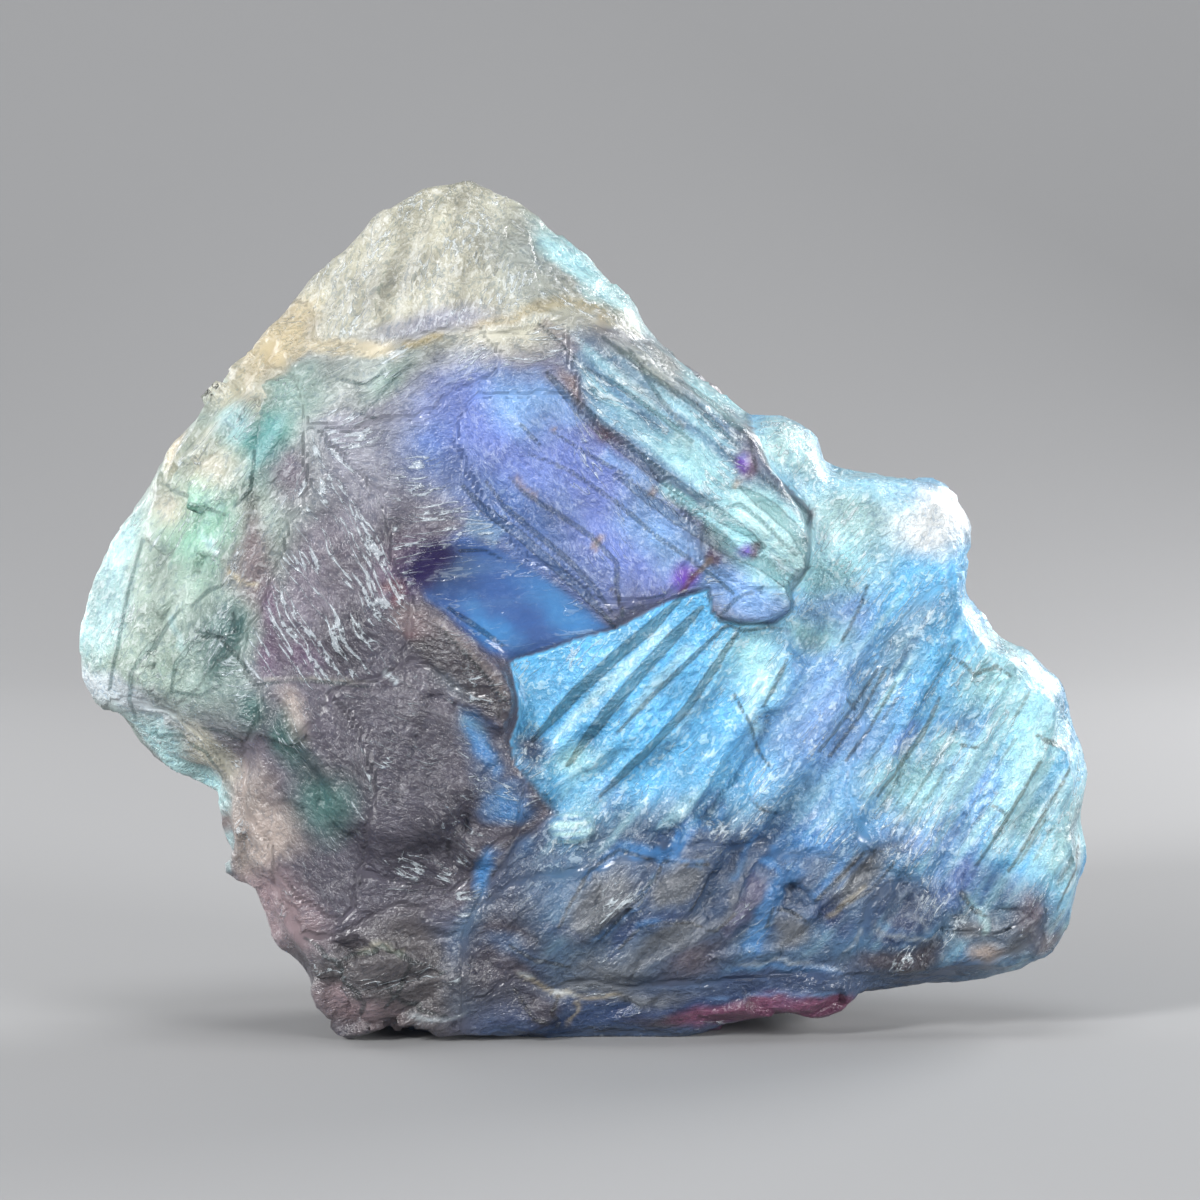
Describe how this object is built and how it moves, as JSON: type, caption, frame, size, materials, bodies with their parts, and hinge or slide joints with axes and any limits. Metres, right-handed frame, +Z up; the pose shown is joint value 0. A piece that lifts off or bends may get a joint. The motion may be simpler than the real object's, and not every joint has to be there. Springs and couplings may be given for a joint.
{
  "type": "fluorite specimen",
  "caption": "Cluster of intergrown fluorite crystals: a large cube corner with a stepped side crystal, cut flat underneath so it stands on display.",
  "frame": {"origin": "middle of the bounding box at the level of the flat resting face", "axes": "+X along the longest extent, towards the side crystal; +Y along the shortest extent, from the display face to the back; +Z up"},
  "size_m": [0.0722, 0.0286, 0.0605],
  "materials": {
    "fluorite": "frosted, etched natural crystal with glossy cleavage patches"
  },
  "bodies": {
    "root": {"fluorite_cluster": "fluorite"}
  },
  "joints": []
}
